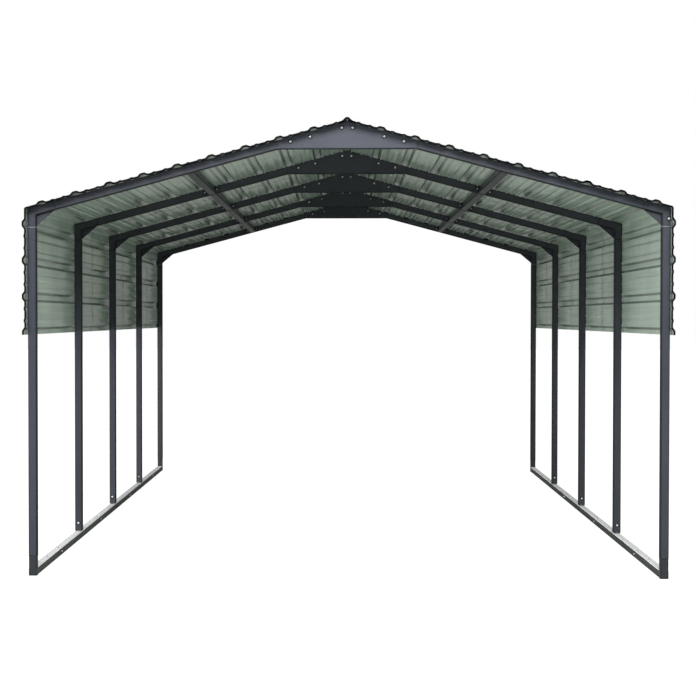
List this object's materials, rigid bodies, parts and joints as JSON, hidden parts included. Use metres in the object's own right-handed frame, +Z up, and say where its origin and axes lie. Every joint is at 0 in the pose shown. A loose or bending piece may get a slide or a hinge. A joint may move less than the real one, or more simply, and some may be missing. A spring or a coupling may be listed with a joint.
{
  "type": "open carport",
  "caption": "Open steel carport: gabled frames of square tube on base rails, with ribbed sheet on the roof and the upper sides.",
  "frame": {"origin": "centre of the footprint, on the ground", "axes": "+Z up; +Y from the front opening to the back one; +X to the right seen from the front"},
  "size_m": [3.704, 6.226, 2.6187],
  "materials": {
    "frame_steel": "satin powder coat, slate grey",
    "sheet_steel": "satin coil coat, anthracite outside and pale grey-green inside"
  },
  "bodies": {
    "root": {"base_rail_left": "frame_steel", "base_rail_right": "frame_steel", "corner_feet": "frame_steel", "post_left_1": "frame_steel", "post_left_2": "frame_steel", "post_left_3": "frame_steel", "post_left_4": "frame_steel", "post_left_5": "frame_steel", "post_right_1": "frame_steel", "post_right_2": "frame_steel", "post_right_3": "frame_steel", "post_right_4": "frame_steel", "post_right_5": "frame_steel", "eave_corner_left_1": "frame_steel", "eave_corner_left_2": "frame_steel", "eave_corner_left_3": "frame_steel", "eave_corner_left_4": "frame_steel", "eave_corner_left_5": "frame_steel", "eave_corner_right_1": "frame_steel", "eave_corner_right_2": "frame_steel", "eave_corner_right_3": "frame_steel", "eave_corner_right_4": "frame_steel", "eave_corner_right_5": "frame_steel", "rafter_left_1": "frame_steel", "rafter_left_2": "frame_steel", "rafter_left_3": "frame_steel", "rafter_left_4": "frame_steel", "rafter_left_5": "frame_steel", "rafter_right_1": "frame_steel", "rafter_right_2": "frame_steel", "rafter_right_3": "frame_steel", "rafter_right_4": "frame_steel", "rafter_right_5": "frame_steel", "ridge_plates_1": "frame_steel", "ridge_plates_2": "frame_steel", "ridge_plates_3": "frame_steel", "ridge_plates_4": "frame_steel", "ridge_plates_5": "frame_steel", "purlin_left": "frame_steel", "purlin_right": "frame_steel", "roof_sheet_left": "sheet_steel", "roof_sheet_right": "sheet_steel", "side_sheet_left": "sheet_steel", "side_sheet_right": "sheet_steel", "ridge_cap": "sheet_steel"}
  },
  "joints": []
}
